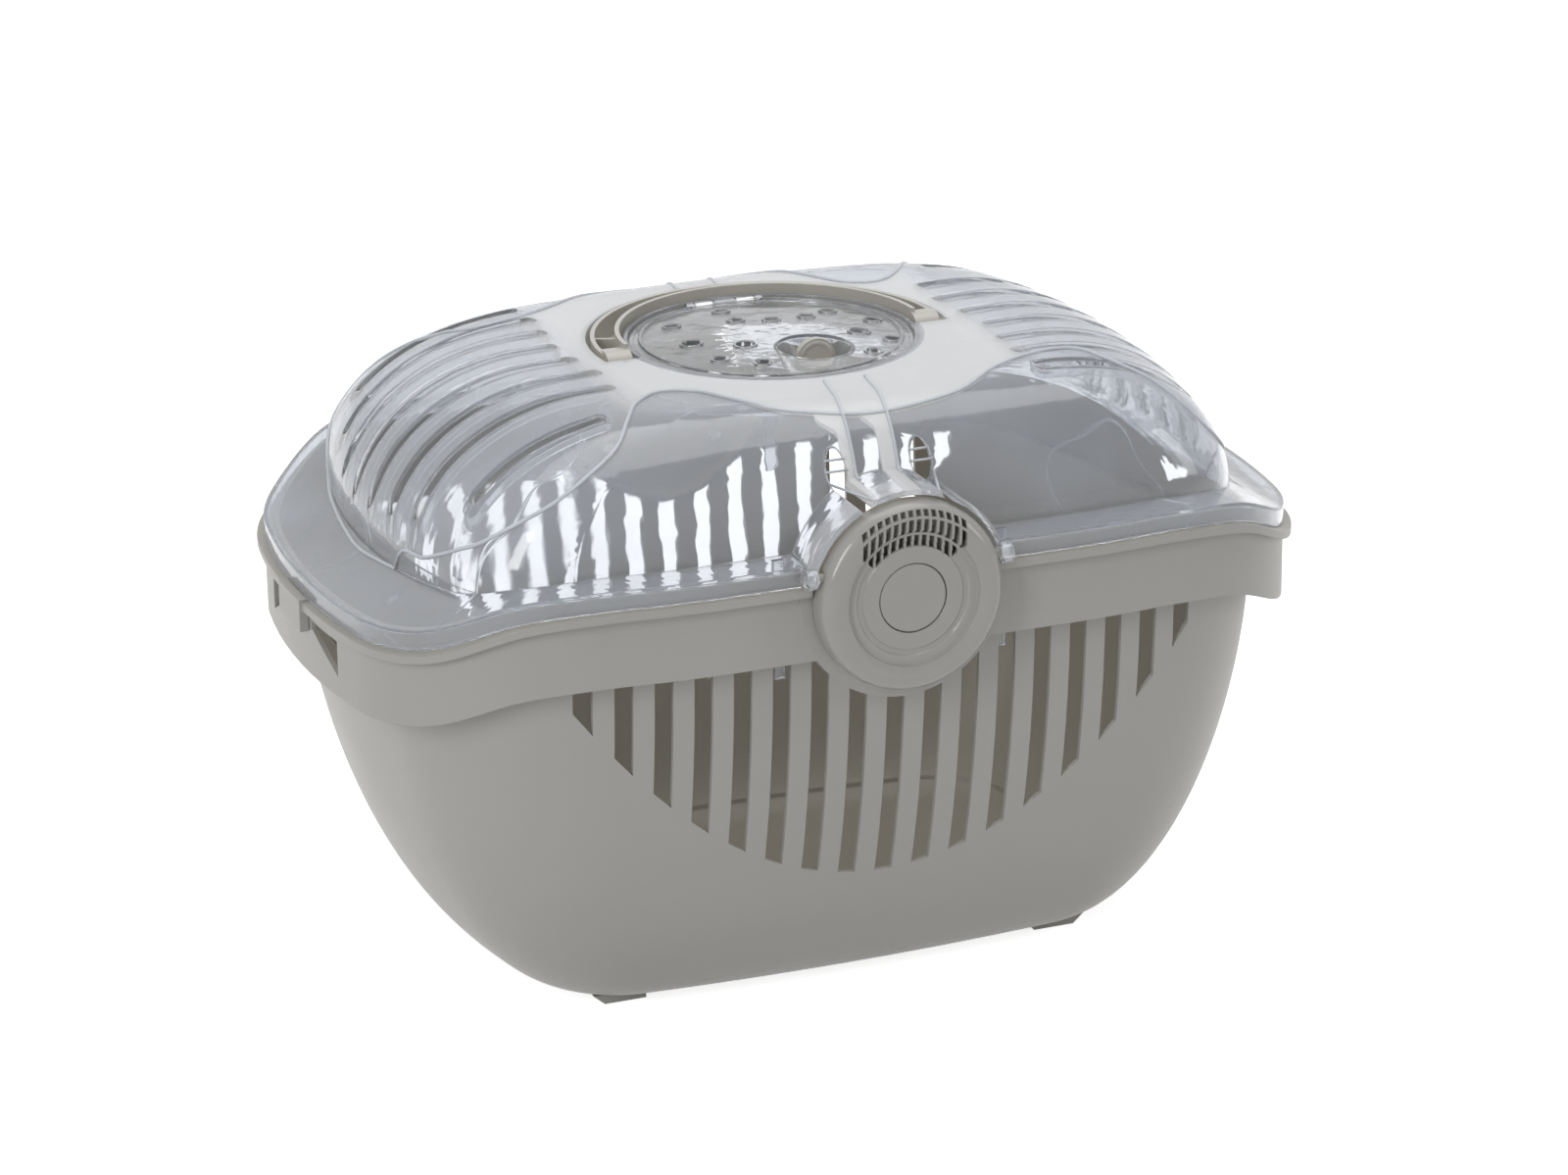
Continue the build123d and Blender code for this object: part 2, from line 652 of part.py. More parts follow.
def handle_pin():
    """Pivot stud of the handle, on the right."""
    return rod_x(handle_pin_radius, stud_start, stud_end, 0, handle_axis_z)


def hatch_surface(lift):
    """Solid under the hatch's domed outside, shifted by a lift."""
    edge = hatch_bottom + hatch_edge_height + lift
    crown = edge + hatch_rise
    ball = (hatch_radius ** 2 + hatch_rise ** 2) / (2 * hatch_rise)
    return disc_z(hatch_radius, hatch_bottom - 20.0, crown + 1.0) & (Pos(0, 0, crown - ball) * Sphere(ball))


def hatch():
    """Clear round hatch with its raised ring, vents, dimple and hinge knuckles."""
    keep = disc_z(hatch_radius, hatch_bottom, 2 * dome_top)
    depth = hatch_bottom + hatch_edge_height + hatch_rise - dimple_floor_z
    shell_top = dimple_radius + dimple_wall
    shell_bottom = dimple_floor_radius + dimple_wall
    dimple = Pos(dimple_x, dimple_y, dimple_floor_z) * Rot(0, 0, dimple_turn)
    shell = dimple * Pos(0, 0, (depth - dimple_wall) / 2) * Cone(shell_bottom, shell_top, depth + dimple_wall)
    hollow = dimple * Pos(0, 0, depth / 2) * Cone(dimple_floor_radius, dimple_radius, depth)
    ring_zone = disc_z(hatch_ring_radius + hatch_ring_width / 2, 0, 2 * dome_top)
    ring_zone -= disc_z(hatch_ring_radius - hatch_ring_width / 2, 0, 2 * dome_top)
    body = hatch_surface(0.0) & keep
    body += hatch_surface(hatch_ring_height) & keep & ring_zone
    for x, y, radius in vent_spots:
        body += hatch_surface(vent_collar_height) & keep & disc_z(radius + vent_collar, 0, 2 * dome_top, x, y)
    cavity = hatch_surface(-hatch_wall) & disc_z(hatch_radius - hatch_wall, 0, 2 * dome_top)
    body -= cavity - shell
    body += shell & disc_z(hatch_radius, 0, hatch_bottom)
    body -= hollow
    for x, y, radius in vent_spots:
        body -= disc_z(radius, 0, 2 * dome_top, x, y)
    body -= disc_z(knob_stem_radius + knob_stem_gap, 0, 2 * dome_top, dimple_x, dimple_y)
    body -= block(-hatch_lug_x[2], hatch_lug_x[2], hatch_axis_y + hatch_rear_trim, hatch_bore, 0, 2 * dome_top)
    for side_x in (-1, 1):
        near, far = sorted((side_x * (hatch_lug_x[1] + hatch_side_gap), side_x * hatch_rear_trim_x))
        body -= block(near, far, hatch_axis_y - hatch_side_trim, hatch_radius + 1, 0, 2 * dome_top)
        near, far = sorted((side_x * hatch_lug_x[0], side_x * hatch_lug_x[1]))
        body += rod_x(hatch_knuckle_radius - 0.1, near, far, hatch_axis_y, hatch_axis_z)
    lug_front = hatch_axis_y - hatch_knuckle_radius - 0.6
    body -= block(-hatch_lug_x[0], hatch_lug_x[0], lug_front, hatch_radius + 1, 0, 2 * dome_top)
    return body - rod_x(hatch_pin_radius + running_gap, -reach, reach, hatch_axis_y, hatch_axis_z)


def hatch_knob():
    """Finger knob with its D-shaped grip, at the dimple."""
    floor_z = dimple_floor_z + 0.1
    body = disc_z(knob_base_radius, floor_z, floor_z + knob_base_height, dimple_x, dimple_y)
    half = knob_grip_width / 2
    top = floor_z + knob_grip_height
    with BuildSketch(Plane.XZ) as grip:
        with BuildLine():
            Line((-half, floor_z), (-half, floor_z + 4.0))
            ThreePointArc((-half, floor_z + 4.0), (0, top), (half, floor_z + 4.0))
            Line((half, floor_z + 4.0), (half, floor_z))
            Line((half, floor_z), (-half, floor_z))
        make_face()
    body += Pos(dimple_x, dimple_y, 0) * (extrude(grip.sketch, amount=knob_grip_thickness / 2, both=True)
                                  & disc_z(half, 0, 2 * dome_top))
    body += disc_z(knob_stem_radius, dimple_floor_z - hatch_wall - 0.2, floor_z, dimple_x, dimple_y)
    screw_top = dimple_floor_z - hatch_wall - 0.2 + knob_screw_length
    return body - disc_z(knob_screw_radius, 0, screw_top, dimple_x, dimple_y)


def knob_tongue():
    """Tongue under the hatch, clamped to the knob's stem."""
    top = dimple_floor_z - hatch_wall - 0.2
    body = disc_z(tongue_width / 2 + 1.0, top - tongue_thickness, top, dimple_x, dimple_y)
    body += block(dimple_x - tongue_width / 2, dimple_x + tongue_width / 2, dimple_y - tongue_reach, dimple_y,
                  top - tongue_thickness, top)
    return body - disc_z(knob_screw_radius, 0, dome_top, dimple_x, dimple_y)


def knob_screw():
    """Screw that clamps the tongue to the knob."""
    top = dimple_floor_z - hatch_wall - 0.2
    under = top - tongue_thickness
    body = disc_z(knob_screw_radius, under, top + knob_screw_length - 1.0, dimple_x, dimple_y)
    body += disc_z(knob_screw_head_radius, under - knob_screw_head_height, under, dimple_x, dimple_y)
    slit = block(dimple_x - 3.0, dimple_x + 3.0, dimple_y - 0.5, dimple_y + 0.5,
                 under - knob_screw_head_height, under - 0.8)
    return body - slit


def front_and_rear(name, shape):
    """The front sub-part and its copy at the rear."""
    return {f"front_{name}": shape, f"rear_{name}": Rot(0, 0, 180) * shape}


def carrier():
    """Every sub-part of the carrier under its node name."""
    parts = {"base_tub": tub(), "lid_shell": lid(), "carry_handle": carry_handle()}
    parts["handle_stud_right"] = handle_pin()
    parts["handle_stud_left"] = mirror(handle_pin(), about=Plane.YZ)
    parts["hatch_window"] = hatch()
    parts["hatch_hinge_pin"] = rod_x(hatch_pin_radius, -hatch_lug_x[2], hatch_lug_x[2],
                                     hatch_axis_y, hatch_axis_z)
    parts["hatch_knob"] = hatch_knob()
    parts["hatch_knob_tongue"] = knob_tongue()
    parts["hatch_knob_screw"] = knob_screw()
    parts.update(front_and_rear("latch_cover", latch_cover()))
    parts.update(front_and_rear("latch_button", latch_button()))
    parts.update(front_and_rear("latch_spring", latch_spring()))
    parts.update(front_and_rear("latch_back_plate", latch_back_plate()))
    parts.update(front_and_rear("latch_screws", latch_screws()))
    # The rear bolts are the lid's hinge pins; the front ones are drawn back, so that the lid can swing.
    free_bolt = latch_bolt(ear_inner_x - seat_gap)
    hinge_bolt = latch_bolt(ear_inner_x + ear_grip)
    parts["front_latch_bolt_right"] = free_bolt
    parts["front_latch_bolt_left"] = mirror(free_bolt, about=Plane.YZ)
    parts["rear_latch_bolt_right"] = Rot(0, 0, 180) * hinge_bolt
    parts["rear_latch_bolt_left"] = Rot(0, 0, 180) * mirror(hinge_bolt, about=Plane.YZ)
    return parts


os.makedirs("parts", exist_ok=True)
for node, solid in carrier().items():
    export_step(solid, f"parts/{node}.step")
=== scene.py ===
"""Looks of the top-opening pet carrier: studio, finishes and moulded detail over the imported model."""

import logging
import math
from dataclasses import dataclass, field
from enum import Enum

import bmesh
import bpy
from mathutils import Matrix, Vector
from mathutils.bvhtree import BVHTree

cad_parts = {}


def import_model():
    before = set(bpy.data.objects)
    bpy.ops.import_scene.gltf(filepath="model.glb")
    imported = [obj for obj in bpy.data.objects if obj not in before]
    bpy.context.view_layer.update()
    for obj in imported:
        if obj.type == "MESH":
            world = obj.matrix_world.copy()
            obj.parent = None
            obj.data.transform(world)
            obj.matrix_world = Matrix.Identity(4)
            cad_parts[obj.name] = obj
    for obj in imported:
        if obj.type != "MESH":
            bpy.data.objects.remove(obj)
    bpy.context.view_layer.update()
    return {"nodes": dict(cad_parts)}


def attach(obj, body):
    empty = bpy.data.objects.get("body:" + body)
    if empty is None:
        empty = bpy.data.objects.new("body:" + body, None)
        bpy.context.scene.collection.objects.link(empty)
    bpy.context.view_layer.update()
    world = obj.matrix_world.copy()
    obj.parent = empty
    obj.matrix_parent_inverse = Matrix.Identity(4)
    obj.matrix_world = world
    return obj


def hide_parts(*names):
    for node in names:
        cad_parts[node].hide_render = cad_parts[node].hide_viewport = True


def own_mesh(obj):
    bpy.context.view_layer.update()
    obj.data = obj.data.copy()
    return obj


log = logging.getLogger("carrier")

ACRYLIC_IOR = 1.49
STYRENE_IOR = 1.46
# pale grey of the painted edge highlight on moulded parts' rounded edges
EDGE_HIGHLIGHT_COLOUR = (0.78, 0.77, 0.74, 1.0)
WORN_STEEL_COLOUR = (0.72, 0.7, 0.66, 1.0)
ABOVE_LID = 0.4
BESIDE_LID = 0.3


class Side(Enum):
    """The two long sides of the carrier, each with a latch."""

    FRONT = "front"
    REAR = "rear"


class Sheen(Enum):
    """How a moulded grey part was polished."""

    SATIN = 0.42
    SMOOTH = 0.3
    GLOSS = 0.16


# Node helpers


def new_group(name: str, inputs: dict[str, tuple[str, object]],
              outputs: dict[str, str]) -> bpy.types.NodeTree:
    """Starts a shader node group.

    Args:
        name: the group's name.
        inputs: socket name to (kind, default value).
        outputs: socket name to kind.

    Returns:
        The empty group, with its input and output nodes.
    """
    tree = bpy.data.node_groups.new(name, "ShaderNodeTree")
    for label, (kind, default) in inputs.items():
        socket = tree.interface.new_socket(label, in_out="INPUT", socket_type=kind)
        if default is not None:
            socket.default_value = default
    for label, kind in outputs.items():
        tree.interface.new_socket(label, in_out="OUTPUT", socket_type=kind)
    tree.nodes.new("NodeGroupInput")
    tree.nodes.new("NodeGroupOutput")
    return tree


@dataclass
class Wiring:
    """Adds and joins nodes in one tree."""

    tree: bpy.types.NodeTree

    def add(self, kind: str, **settings: object) -> bpy.types.Node:
        """Adds a node and sets its properties.

        Args:
            kind: the node's type name.
            settings: attribute name to value.

        Returns:
            The new node.
        """
        node = self.tree.nodes.new(kind)
        for key, value in settings.items():
            setattr(node, key, value)
        return node

    def join(self, source: bpy.types.NodeSocket, target: bpy.types.NodeSocket) -> None:
        """Links two sockets."""
        self.tree.links.new(source, target)

    def feed(self, socket: bpy.types.NodeSocket, value: object) -> None:
        """Links a socket to another, or sets it to a constant."""
        if isinstance(value, bpy.types.NodeSocket):
            self.join(value, socket)
        else:
            socket.default_value = value

    def math(self, operation: str, first: object, second: object = 0.0, third: object = 0.0,
             clamp: bool = False) -> bpy.types.NodeSocket:
        """A Math node on sockets or numbers.

        Args:
            operation: the Math node's operation.
            first, second, third: sockets or numbers.
            clamp: keeps the result from 0 to 1.

        Returns:
            The result socket.
        """
        node = self.add("ShaderNodeMath", operation=operation, use_clamp=clamp)
        for socket, value in zip(node.inputs, (first, second, third)):
            self.feed(socket, value)
        return node.outputs[0]

    def ramp(self, value: object, low: object, high: object, to_low: float = 0.0,
             to_high: float = 1.0) -> bpy.types.NodeSocket:
        """A smooth step of a value between two limits."""
        node = self.add("ShaderNodeMapRange", interpolation_type="SMOOTHSTEP")
        for label, given in (("Value", value), ("From Min", low), ("From Max", high),
                             ("To Min", to_low), ("To Max", to_high)):
            self.feed(node.inputs[label], given)
        return node.outputs["Result"]

    def noise(self, place: bpy.types.NodeSocket, scale: object, detail: float = 2.0,
              roughness: float = 0.5) -> bpy.types.NodeSocket:
        """A noise value at a place."""
        node = self.add("ShaderNodeTexNoise")
        self.join(place, node.inputs["Vector"])
        self.feed(node.inputs["Scale"], scale)
        node.inputs["Detail"].default_value = detail
        node.inputs["Roughness"].default_value = roughness
        return node.outputs["Fac"]

    def stretch(self, place: bpy.types.NodeSocket, scale: tuple[float, float, float],
                turn: tuple[float, float, float] = (0.0, 0.0, 0.0)) -> bpy.types.NodeSocket:
        """A place turned and stretched by a Mapping node."""
        node = self.add("ShaderNodeMapping")
        self.join(place, node.inputs["Vector"])
        node.inputs["Rotation"].default_value = turn
        node.inputs["Scale"].default_value = scale
        return node.outputs["Vector"]

    def blend(self, share: object, first: object, second: object) -> bpy.types.NodeSocket:
        """A colour between two colours."""
        node = self.add("ShaderNodeMix", data_type="RGBA")
        self.feed(node.inputs[0], share)
        self.feed(node.inputs[6], first)
        self.feed(node.inputs[7], second)
        return node.outputs[2]

    def bump(self, height: bpy.types.NodeSocket, distance: object, strength: object = 1.0,
             normal: bpy.types.NodeSocket | None = None) -> bpy.types.NodeSocket:
        """A normal pushed by a height."""
        node = self.add("ShaderNodeBump")
        self.join(height, node.inputs["Height"])
        self.feed(node.inputs["Distance"], distance)
        self.feed(node.inputs["Strength"], strength)
        if normal is not None:
            self.join(normal, node.inputs["Normal"])
        return node.outputs["Normal"]

    def distance(self, across: bpy.types.NodeSocket, along: bpy.types.NodeSocket) -> bpy.types.NodeSocket:
        """Length of a plane vector from its two parts."""
        return self.math("SQRT", self.math("ADD", self.math("MULTIPLY", across, across),
                                           self.math("MULTIPLY", along, along)))

    @property
    def place(self) -> bpy.types.NodeSocket:
        """Object coordinates."""
        return self.add("ShaderNodeTexCoord").outputs["Object"]


def group_ends(tree: bpy.types.NodeTree) -> tuple[bpy.types.NodeOutputs, bpy.types.NodeInputs]:
    """The sockets of a group's input and output nodes."""
    given = next(n for n in tree.nodes if n.type == "GROUP_INPUT")
    made = next(n for n in tree.nodes if n.type == "GROUP_OUTPUT")
    return given.outputs, made.inputs


def moulded_group() -> bpy.types.NodeTree:
    """Group of a moulded part: mottled colour, satin patches, fine spark grain, glossier edges and a
    painted edge highlight that lightens the colour on rounded edges.
    """
    tree = new_group(
        "moulded_surface",
        {"Colour": ("NodeSocketColor", (0.3, 0.3, 0.3, 1.0)), "Roughness": ("NodeSocketFloat", 0.4),
         "Grain": ("NodeSocketFloat", 0.00002), "Edge": ("NodeSocketFloat", 0.0006)},
        {"Colour": "NodeSocketColor", "Roughness": "NodeSocketFloat", "Normal": "NodeSocketVector"})
    w = Wiring(tree)
    given, made = group_ends(tree)
    place = w.place
    rounded = w.add("ShaderNodeBevel", samples=4)
    w.join(given["Edge"], rounded.inputs["Radius"])
    flat = w.add("ShaderNodeNewGeometry").outputs["Normal"]
    turned = w.add("ShaderNodeVectorMath", operation="DOT_PRODUCT")
    w.join(rounded.outputs[0], turned.inputs[0])
    w.join(flat, turned.inputs[1])
    edge = w.ramp(turned.outputs["Value"], 0.985, 0.86)
    cloud = w.noise(place, 9.0, 3.0, 0.6)
    flow = w.noise(w.stretch(place, (6.0, 6.0, 38.0)), 1.0, 2.0, 0.55)
    speck = w.noise(place, 2600.0, 1.0)
    scratch_place = w.stretch(place, (38.0, 900.0, 300.0), (0.3, 0.2, 0.5))
    scratch = w.ramp(w.noise(scratch_place, 1.0, 2.0, 0.6), 0.66, 0.74)
    tone = w.math("MULTIPLY_ADD", cloud, 0.07, 0.955)
    tone = w.math("MULTIPLY_ADD", w.math("SUBTRACT", flow, 0.5), 0.05, tone)
    tone = w.math("MULTIPLY_ADD", w.math("SUBTRACT", speck, 0.5), 0.06, tone)
    shade = w.add("ShaderNodeVectorMath", operation="SCALE")
    w.join(given["Colour"], shade.inputs[0])
    w.join(tone, shade.inputs["Scale"])
    # painted edge highlight: colour lightened towards a pale grey on rounded edges
    highlighted = w.blend(w.math("MULTIPLY", edge, 0.16), shade.outputs[0], EDGE_HIGHLIGHT_COLOUR)
    w.join(highlighted, made["Colour"])
    rough = w.math("MULTIPLY_ADD", w.math("SUBTRACT", cloud, 0.5), 0.16, given["Roughness"])
    rough = w.math("MULTIPLY_ADD", w.math("SUBTRACT", flow, 0.5), 0.1, rough)
    rough = w.math("MULTIPLY_ADD", scratch, 0.08, rough)
    rough = w.math("MULTIPLY_ADD", edge, -0.1, rough, clamp=True)
    w.join(rough, made["Roughness"])
    grain = w.noise(place, 1500.0, 2.0, 0.6)
    normal = w.bump(grain, given["Grain"], 1.0, rounded.outputs[0])
    wave = w.noise(place, 14.0, 1.0)
    w.join(w.bump(wave, 0.0006, 0.35, normal), made["Normal"])
    return tree


def clear_group() -> bpy.types.NodeTree:
    """Group of clear moulding: ripples, weld lines and a faint haze."""
    tree = new_group(
        "clear_flow",
        {"Ripple": ("NodeSocketFloat", 0.0004), "Roughness": ("NodeSocketFloat", 0.03),
         "Edge": ("NodeSocketFloat", 0.0008)},
        {"Roughness": "NodeSocketFloat", "Haze": "NodeSocketFloat", "Normal": "NodeSocketVector"})
    w = Wiring(tree)
    given, made = group_ends(tree)
    place = w.place
    rounded = w.add("ShaderNodeBevel", samples=4)
    w.join(given["Edge"], rounded.inputs["Radius"])
    slow = w.noise(place, 22.0, 2.0, 0.5)
    quick = w.noise(w.stretch(place, (70.0, 70.0, 26.0)), 1.0, 2.0, 0.55)
    weld = w.noise(w.stretch(place, (5.0, 5.0, 5.0)), 1.0, 3.0, 0.65)
    line = w.math("ABSOLUTE", w.math("SUBTRACT", weld, 0.5))
    line = w.ramp(line, 0.0035, 0.0)
    height = w.math("MULTIPLY_ADD", quick, 0.25, slow)
    height = w.math("MULTIPLY_ADD", line, 0.05, height)
    w.join(w.bump(height, given["Ripple"], 1.0, rounded.outputs[0]), made["Normal"])
    haze = w.ramp(w.noise(place, 11.0, 3.0, 0.6), 0.42, 0.75)
    w.join(w.math("MULTIPLY_ADD", line, 0.4, w.math("MULTIPLY", haze, 0.35)), made["Haze"])
    w.join(w.math("MULTIPLY_ADD", haze, 0.03, given["Roughness"]), made["Roughness"])
    return tree


@dataclass(frozen=True)
class BowTie:
    """Front outline of the lid's frosted band, in metres; the rear is the same turned half round."""

    length: float = 0.2
    width: float = 0.12
    inner_radius: float = 0.0665
    latch_z: float = 0.1964
    collar_radius: float = 0.0468
    collar_inside: float = 0.0462
    collar_share: float = 0.35
    points: tuple[tuple[float, float], ...] = (
        (-0.1905, 0.0), (-0.190, 0.010), (-0.188, 0.026), (-0.1855, 0.0425), (-0.181, 0.069),
        (-0.1727, 0.092),
        (-0.1618, 0.103), (-0.1446, 0.109), (-0.1277, 0.108), (-0.1086, 0.100), (-0.0973, 0.084),
        (-0.0879, 0.0685), (-0.074, 0.0575), (-0.0594, 0.0627), (-0.0485, 0.080), (-0.0369, 0.095),
        (-0.0177, 0.102), (0.003, 0.105), (0.026, 0.103), (0.049, 0.097), (0.072, 0.0805), (0.093, 0.070),
        (0.115, 0.0675), (0.128, 0.080), (0.140, 0.088), (0.152, 0.0976), (0.163, 0.100), (0.174, 0.091),
        (0.182, 0.068), (0.187, 0.040), (0.190, 0.012), (0.1905, 0.0))

    webs: tuple[tuple[float, float, float], ...] = ((-0.0094, -0.0141, -0.0215), (0.0102, 0.0030, -0.0026))
    web_lean: float = -0.085

    def web_mask(self, w: Wiring, web: tuple[float, float, float], along: bpy.types.NodeSocket,
                 out: bpy.types.NodeSocket, above: bpy.types.NodeSocket) -> bpy.types.NodeSocket:
        """Mask of one frosted web that runs from the band down to a latch and flares at its top.

        Args:
            w: the wiring of the band's group.
            web: its right edge, its left edge and its left edge at the flared top.
            along: signed distance along the carrier, turned at the rear.
            out: distance from the middle plane.
            above: 1 above the rim.

        Returns:
            The mask socket.
        """
        right, left, flare = web
        lean = w.math("MULTIPLY", w.math("SUBTRACT", out, 0.1), self.web_lean)
        from_right = w.math("SUBTRACT", w.math("ADD", lean, right), along)
        start = w.ramp(out, 0.1035, 0.1115, flare, left)
        from_left = w.math("SUBTRACT", along, w.math("ADD", lean, start))
        side = w.math("MULTIPLY", w.ramp(from_right, -0.0003, 0.0003), w.ramp(from_left, -0.0003, 0.0003))
        return w.math("MULTIPLY", w.math("MULTIPLY", side, w.ramp(out, 0.094, 0.096)), above)

    def loop(self) -> list[tuple[float, float]]:
        """The whole outline round the lid, front and rear, as places on the ground plan."""
        front = [(x, -y) for x, y in self.points]
        return front + [(-x, -y) for x, y in front[1:-1]]

    def group(self) -> bpy.types.NodeTree:
        """Group that gives 1 on the frosted band and the collars of the latches, 0 on the clear windows."""
        tree = new_group("bow_tie_band", {"Soft": ("NodeSocketFloat", 0.0006)},
                         {"Mask": "NodeSocketFloat", "Pad": "NodeSocketFloat"})
        w = Wiring(tree)
        given, made = group_ends(tree)
        split = w.add("ShaderNodeSeparateXYZ")
        w.join(w.place, split.inputs[0])
        x, y, z = split.outputs
        curve = w.add("ShaderNodeFloatCurve")
        line = curve.mapping.curves[0]
        spots = [((px / self.length + 1.0) / 2.0, py / self.width) for px, py in self.points]
        line.points[0].location = spots[0]
        line.points[1].location = spots[-1]
        for spot in spots[1:-1]:
            line.points.new(*spot)
        curve.mapping.update()
        turned = w.math("MULTIPLY", x, w.math("MULTIPLY", w.math("SIGN", y), -1.0))
        w.join(w.math("MULTIPLY_ADD", turned, 0.5 / self.length, 0.5), curve.inputs["Value"])
        half = w.math("MULTIPLY", curve.outputs[0], self.width)
        inside = w.math("SUBTRACT", half, w.math("ABSOLUTE", y))
        band = w.ramp(inside, w.math("MULTIPLY", given["Soft"], -1.0), given["Soft"])
        radius = w.distance(x, y)
        ring = w.ramp(radius, self.inner_radius - 0.0005, self.inner_radius + 0.0005)
        above = w.ramp(z, 0.1995, 0.2005)
        band = w.math("MULTIPLY", w.math("MULTIPLY", band, ring), above)
        from_latch = w.distance(x, w.math("SUBTRACT", z, self.latch_z))
        near_latch = w.ramp(from_latch, self.collar_radius, self.collar_inside)
        collar = w.math("MULTIPLY", near_latch, w.ramp(w.math("ABSOLUTE", y), 0.1365, 0.1375))
        out = w.math("MAXIMUM", band, w.math("MULTIPLY", collar, self.collar_share))
        for web in self.webs:
            out = w.math("MAXIMUM", out, self.web_mask(w, web, turned, w.math("ABSOLUTE", y), above))
        w.join(out, made["Mask"])
        w.join(w.ramp(w.math("ABSOLUTE", x), 0.078, 0.1), made["Pad"])
        return tree


@dataclass(frozen=True)
class GreyPlastic:
    """Grey moulded plastic of the tub, latches and handle."""

    name: str
    colour: tuple[float, float, float]
    sheen: Sheen
    grain: float = 0.00002
    edge: float = 0.0006
    crease: float = 0.0

    def material(self, surface: bpy.types.NodeTree) -> bpy.types.Material:
        """Makes the material.

        Args:
            surface: the moulded surface group.

        Returns:
            The finished material.
        """
        mat = bpy.data.materials.new(self.name)
        mat.use_nodes = True
        w = Wiring(mat.node_tree)
        shader = mat.node_tree.nodes["Principled BSDF"]
        skin = w.add("ShaderNodeGroup", node_tree=surface)
        skin.inputs["Colour"].default_value = (*self.colour, 1.0)
        skin.inputs["Roughness"].default_value = self.sheen.value
        skin.inputs["Grain"].default_value = self.grain
        skin.inputs["Edge"].default_value = self.edge
        w.join(skin.outputs["Colour"], shader.inputs["Base Color"])
        w.join(skin.outputs["Roughness"], shader.inputs["Roughness"])
        normal = skin.outputs["Normal"]
        if self.crease > 0.0:
            split = w.add("ShaderNodeSeparateXYZ")
            w.join(w.place, split.inputs[0])
            plinth = w.ramp(split.outputs[2], self.crease, self.crease + 0.002)
            normal = w.bump(plinth, 0.0014, 0.8, normal)
        w.join(normal, shader.inputs["Normal"])
        shader.inputs["IOR"].default_value = ACRYLIC_IOR
        shader.inputs["Specular IOR Level"].default_value = 0.5
        return mat


@dataclass(frozen=True)
class ClearPlastic:
    """Clear moulded plastic, with a frosted band where a mask is given."""

    name: str
    tint: tuple[float, float, float] = (0.875, 0.895, 0.935)
    roughness: float = 0.02
    ripple: float = 0.0005
    haze: float = 0.17
    haze_colour: tuple[float, float, float] = (0.6, 0.66, 0.78)
    frost_colour: tuple[float, float, float] = (0.88, 0.9, 0.935)
    frost_roughness: float = 0.24
    frost_cover: float = 0.9
    frost_clear: float = 0.46
    pad_clear: float = 0.92
    through: tuple[float, float, float] = (0.77, 0.745, 0.69)

    def milky(self, w: Wiring, normal: bpy.types.NodeSocket) -> bpy.types.NodeSocket:
        """Shader of the light scattered by the plastic itself.

        Args:
            w: the material's wiring.
            normal: the rippled surface normal.

        Returns:
            The shader socket.
        """
        mist = w.add("ShaderNodeBsdfPrincipled")
        mist.inputs["Base Color"].default_value = (*self.haze_colour, 1.0)
        mist.inputs["Roughness"].default_value = 0.25
        mist.inputs["IOR"].default_value = STYRENE_IOR
        w.join(normal, mist.inputs["Normal"])
        return mist.outputs[0]

    def material(self, flow: bpy.types.NodeTree, band: bpy.types.NodeTree | None) -> bpy.types.Material:
        """Makes the material.

        Args:
            flow: the clear moulding group.
            band: the group of the frosted band, or None for a part that is clear all over.

        Returns:
            The finished material.
        """
        mat = bpy.data.materials.new(self.name)
        mat.use_nodes = True
        w = Wiring(mat.node_tree)
        out = mat.node_tree.nodes["Material Output"]
        clear = mat.node_tree.nodes["Principled BSDF"]
        body = w.add("ShaderNodeGroup", node_tree=flow)
        body.inputs["Ripple"].default_value = self.ripple
        body.inputs["Roughness"].default_value = self.roughness
        clear.inputs["Base Color"].default_value = (*self.tint, 1.0)
        clear.inputs["Transmission Weight"].default_value = 1.0
        clear.inputs["IOR"].default_value = STYRENE_IOR
        w.join(body.outputs["Roughness"], clear.inputs["Roughness"])
        w.join(body.outputs["Normal"], clear.inputs["Normal"])
        hazy = w.add("ShaderNodeMixShader")
        w.join(w.math("MULTIPLY_ADD", body.outputs["Haze"], 0.3, self.haze), hazy.inputs[0])
        w.join(clear.outputs[0], hazy.inputs[1])
        w.join(self.milky(w, body.outputs["Normal"]), hazy.inputs[2])
        surface = hazy.outputs[0]
        if band is not None:
            frost = w.add("ShaderNodeBsdfPrincipled")
            frost.inputs["Base Color"].default_value = (*self.frost_colour, 1.0)
            frost.inputs["Roughness"].default_value = self.frost_roughness
            frost.inputs["Transmission Weight"].default_value = self.frost_clear
            frost.inputs["IOR"].default_value = STYRENE_IOR
            w.join(body.outputs["Normal"], frost.inputs["Normal"])
            mask = w.add("ShaderNodeGroup", node_tree=band)
            milky = w.add("ShaderNodeMixShader")
            thinner = -self.pad_clear * self.frost_cover
            cover = w.math("MULTIPLY_ADD", mask.outputs["Pad"], thinner, self.frost_cover)
            w.join(w.math("MULTIPLY", mask.outputs["Mask"], cover), milky.inputs[0])
            w.join(surface, milky.inputs[1])
            w.join(frost.outputs[0], milky.inputs[2])
            surface = milky.outputs[0]
        rays = w.add("ShaderNodeLightPath")
        lamp = w.math("MAXIMUM", rays.outputs["Is Shadow Ray"], rays.outputs["Is Diffuse Ray"])
        open_way = w.add("ShaderNodeBsdfTransparent")
        open_way.inputs["Color"].default_value = (*self.through, 1.0)
        pick = w.add("ShaderNodeMixShader")
        w.join(lamp, pick.inputs[0])
        w.join(surface, pick.inputs[1])
        w.join(open_way.outputs[0], pick.inputs[2])
        w.join(pick.outputs[0], out.inputs["Surface"])
        return mat


